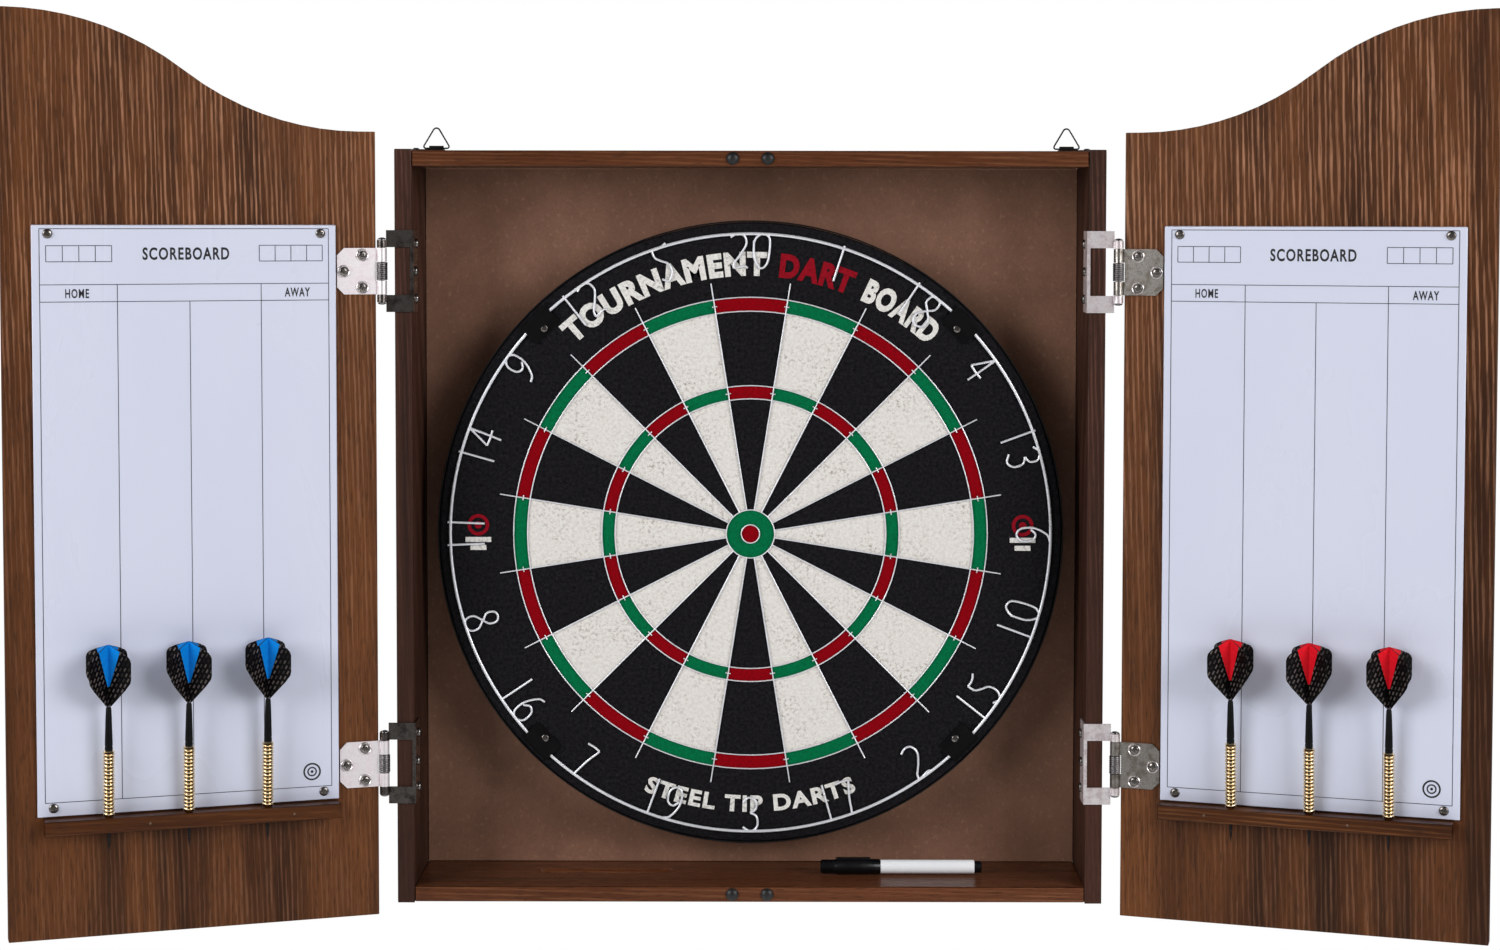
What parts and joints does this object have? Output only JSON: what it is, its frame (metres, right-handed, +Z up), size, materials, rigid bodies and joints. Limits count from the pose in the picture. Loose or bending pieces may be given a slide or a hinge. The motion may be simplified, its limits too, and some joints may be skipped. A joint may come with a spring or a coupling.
{
  "type": "dartboard cabinet",
  "caption": "Wooden wall cabinet for a bristle dartboard, with shaped hinged doors that carry scoreboards, racks and darts, and a marker on its sill.",
  "frame": {"origin": "middle of the cabinet box's back face, in the plane of the wall", "axes": "+Y into the wall, -Y towards the player, +X to the player's right, +Z up; stored with the doors wide open"},
  "size_m": [1.0168, 0.1794, 0.6366],
  "materials": {
    "walnut_foil": "walnut-grain foil on MDF, semi-matt",
    "fibreboard": "brown hardboard, matt",
    "nickel": "nickel plated, semi-bright",
    "dark_wire": "plated wire, dull",
    "hinge_spring": "blued spring steel",
    "black_rubber": "matt",
    "sisal": "dyed bristle end grain, matt, with print",
    "chipboard": "raw chipboard",
    "rim_band": "black band, satin",
    "spider_wire": "galvanised wire, bright",
    "white_panel": "white dry-wipe panel with black print",
    "brass": "ringed, bright",
    "shaft_nylon": "satin",
    "blue_flight": "blue chevrons on black weave film",
    "red_flight": "red chevrons on black weave film",
    "marker_white": "glossy white",
    "marker_black": "glossy black"
  },
  "bodies": {
    "cabinet": {"left_side_panel": "walnut_foil", "right_side_panel": "walnut_foil", "top_panel": "walnut_foil", "bottom_panel": "walnut_foil", "back_panel": "fibreboard", "top_left_bumper": "black_rubber", "top_right_bumper": "black_rubber", "bottom_left_bumper": "black_rubber", "bottom_right_bumper": "black_rubber", "left_hanger_plate": "nickel", "right_hanger_plate": "nickel", "board_bracket": "nickel", "upper_left_frame_leaf": "nickel", "upper_right_frame_leaf": "nickel", "lower_left_frame_leaf": "nickel", "lower_right_frame_leaf": "nickel", "upper_left_hinge_pin": "hinge_spring", "upper_right_hinge_pin": "hinge_spring", "lower_left_hinge_pin": "hinge_spring", "lower_right_hinge_pin": "hinge_spring"},
    "left_hanger_loop": {"left_hanger_loop": "dark_wire"},
    "right_hanger_loop": {"right_hanger_loop": "dark_wire"},
    "left_door": {"left_door": "walnut_foil", "left_scoreboard": "white_panel", "left_dart_rack": "walnut_foil", "upper_left_door_leaf": "nickel", "lower_left_door_leaf": "nickel"},
    "right_door": {"right_door": "walnut_foil", "right_scoreboard": "white_panel", "right_dart_rack": "walnut_foil", "upper_right_door_leaf": "nickel", "lower_right_door_leaf": "nickel"},
    "left_dart_1": {"left_dart_1_barrel": "brass", "left_dart_1_shaft": "shaft_nylon", "left_dart_1_flight": "blue_flight"},
    "left_dart_2": {"left_dart_2_barrel": "brass", "left_dart_2_shaft": "shaft_nylon", "left_dart_2_flight": "blue_flight"},
    "left_dart_3": {"left_dart_3_barrel": "brass", "left_dart_3_shaft": "shaft_nylon", "left_dart_3_flight": "blue_flight"},
    "right_dart_1": {"right_dart_1_barrel": "brass", "right_dart_1_shaft": "shaft_nylon", "right_dart_1_flight": "red_flight"},
    "right_dart_2": {"right_dart_2_barrel": "brass", "right_dart_2_shaft": "shaft_nylon", "right_dart_2_flight": "red_flight"},
    "right_dart_3": {"right_dart_3_barrel": "brass", "right_dart_3_shaft": "shaft_nylon", "right_dart_3_flight": "red_flight"},
    "board_hanger": {"centre_screw": "nickel"},
    "dartboard": {"backing_board": "chipboard", "sisal_core": "sisal", "rim_band": "rim_band", "spider": "spider_wire"},
    "number_ring": {"number_ring": "spider_wire"},
    "marker": {"marker_body": "marker_white"},
    "marker_cap": {"marker_cap": "marker_black"}
  },
  "joints": [
    {"name": "left_door_swing", "type": "hinge", "parent": "cabinet", "child": "left_door", "pos_m": [-0.2589, -0.08475, 0], "axis": [0, 0, 1], "range_deg": [-18.4, 161.6]},
    {"name": "right_door_swing", "type": "hinge", "parent": "cabinet", "child": "right_door", "pos_m": [0.2589, -0.08475, 0], "axis": [0, 0, -1], "range_deg": [-18.4, 161.6]},
    {"name": "left_hanger_fold", "type": "hinge", "parent": "cabinet", "child": "left_hanger_loop", "pos_m": [-0.2302, -0.0034, 0.2699], "axis": [1, 0, 0], "range_deg": [0, 91]},
    {"name": "right_hanger_fold", "type": "hinge", "parent": "cabinet", "child": "right_hanger_loop", "pos_m": [0.2302, -0.0034, 0.2699], "axis": [1, 0, 0], "range_deg": [0, 91]},
    {"name": "left_dart_1_lift", "type": "slide", "parent": "left_door", "child": "left_dart_1", "axis": [0.0226, -0.0679, 0.9974], "range_m": [0, 0.028]},
    {"name": "left_dart_2_lift", "type": "slide", "parent": "left_door", "child": "left_dart_2", "axis": [0.0226, -0.0679, 0.9974], "range_m": [0, 0.028]},
    {"name": "left_dart_3_lift", "type": "slide", "parent": "left_door", "child": "left_dart_3", "axis": [0.0226, -0.0679, 0.9974], "range_m": [0, 0.028]},
    {"name": "right_dart_1_lift", "type": "slide", "parent": "right_door", "child": "right_dart_1", "axis": [-0.0226, -0.0679, 0.9974], "range_m": [0, 0.028]},
    {"name": "right_dart_2_lift", "type": "slide", "parent": "right_door", "child": "right_dart_2", "axis": [-0.0226, -0.0679, 0.9974], "range_m": [0, 0.028]},
    {"name": "right_dart_3_lift", "type": "slide", "parent": "right_door", "child": "right_dart_3", "axis": [-0.0226, -0.0679, 0.9974], "range_m": [0, 0.028]},
    {"name": "board_lift", "type": "slide", "parent": "cabinet", "child": "board_hanger", "axis": [0, 0, 1], "range_m": [0, 0.028]},
    {"name": "board_turn", "type": "hinge", "parent": "board_hanger", "child": "dartboard", "pos_m": [0, -0.028, -0.0078], "axis": [0, 1, 0], "continuous": true},
    {"name": "number_ring_turn", "type": "hinge", "parent": "dartboard", "child": "number_ring", "pos_m": [0, -0.0474, -0.0078], "axis": [0, 1, 0], "continuous": true},
    {"name": "marker_lift", "type": "slide", "parent": "cabinet", "child": "marker", "axis": [0, 0, 1], "range_m": [0, 0.008]},
    {"name": "marker_cap_pull", "type": "slide", "parent": "marker", "child": "marker_cap", "axis": [-1, 0, 0], "range_m": [0, 0.03]}
  ]
}
